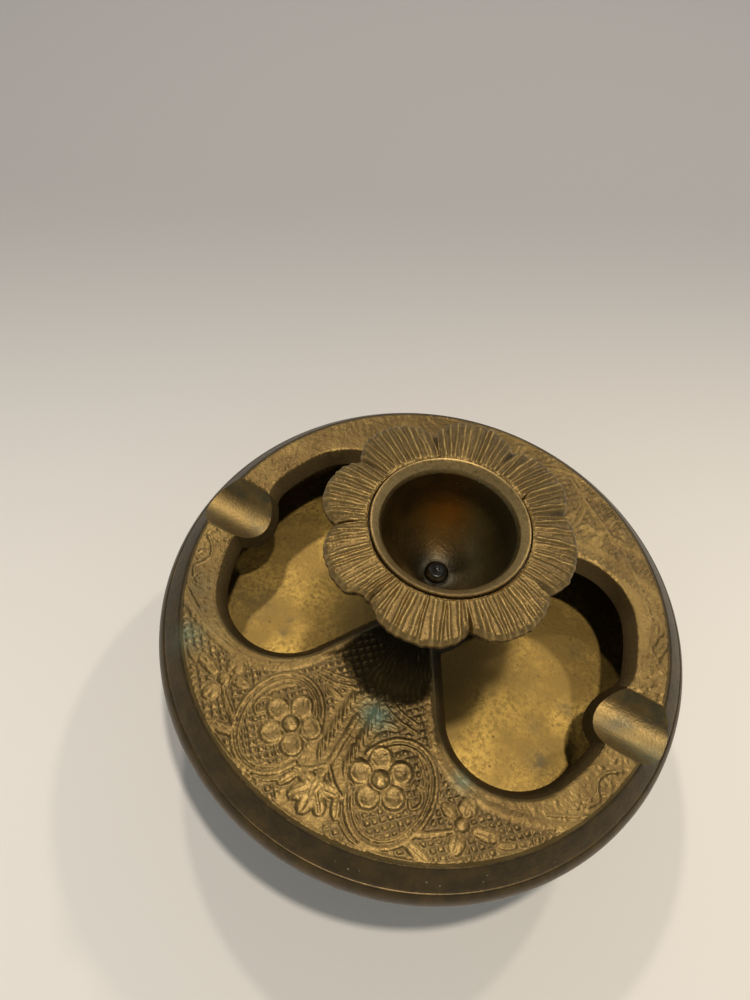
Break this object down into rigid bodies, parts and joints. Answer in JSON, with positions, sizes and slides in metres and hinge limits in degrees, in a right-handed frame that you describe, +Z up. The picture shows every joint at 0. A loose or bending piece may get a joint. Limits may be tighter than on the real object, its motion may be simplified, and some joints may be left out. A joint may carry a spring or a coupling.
{
  "type": "incense burner",
  "caption": "Round covered brass burner on a foot ring, with a pierced lid, stick rests, chased flowers and a lotus cup on a stem.",
  "frame": {"origin": "on the table at the middle of the foot ring", "axes": "+Z up along the lotus, +X along the line of the two stick rests"},
  "size_m": [0.11, 0.11, 0.068],
  "materials": {
    "bowl_brass": "aged brass, dark brown outside and bright speckled yellow inside",
    "lid_brass": "chased relief, gold-brown on the high places and dark in the ground",
    "lotus_brass": "fluted cast petals, dusty brown with rubbed golden ridges",
    "cup_brass": "heat-stained dark brown, rubbed lip",
    "screw_steel": "dull steel",
    "washer_brass": "plain turned brass"
  },
  "bodies": {
    "bowl": {"bowl": "bowl_brass", "foot_ring": "bowl_brass"},
    "lid": {"lid": "lid_brass", "stem": "lotus_brass", "lotus_flower": "lotus_brass", "cup_liner": "cup_brass", "centre_screw": "screw_steel", "lid_washer": "washer_brass", "hex_nut": "screw_steel"}
  },
  "joints": [
    {"name": "lid_lift", "type": "slide", "parent": "bowl", "child": "lid", "axis": [0, 0, 1], "range_m": [0, 0.045]}
  ]
}
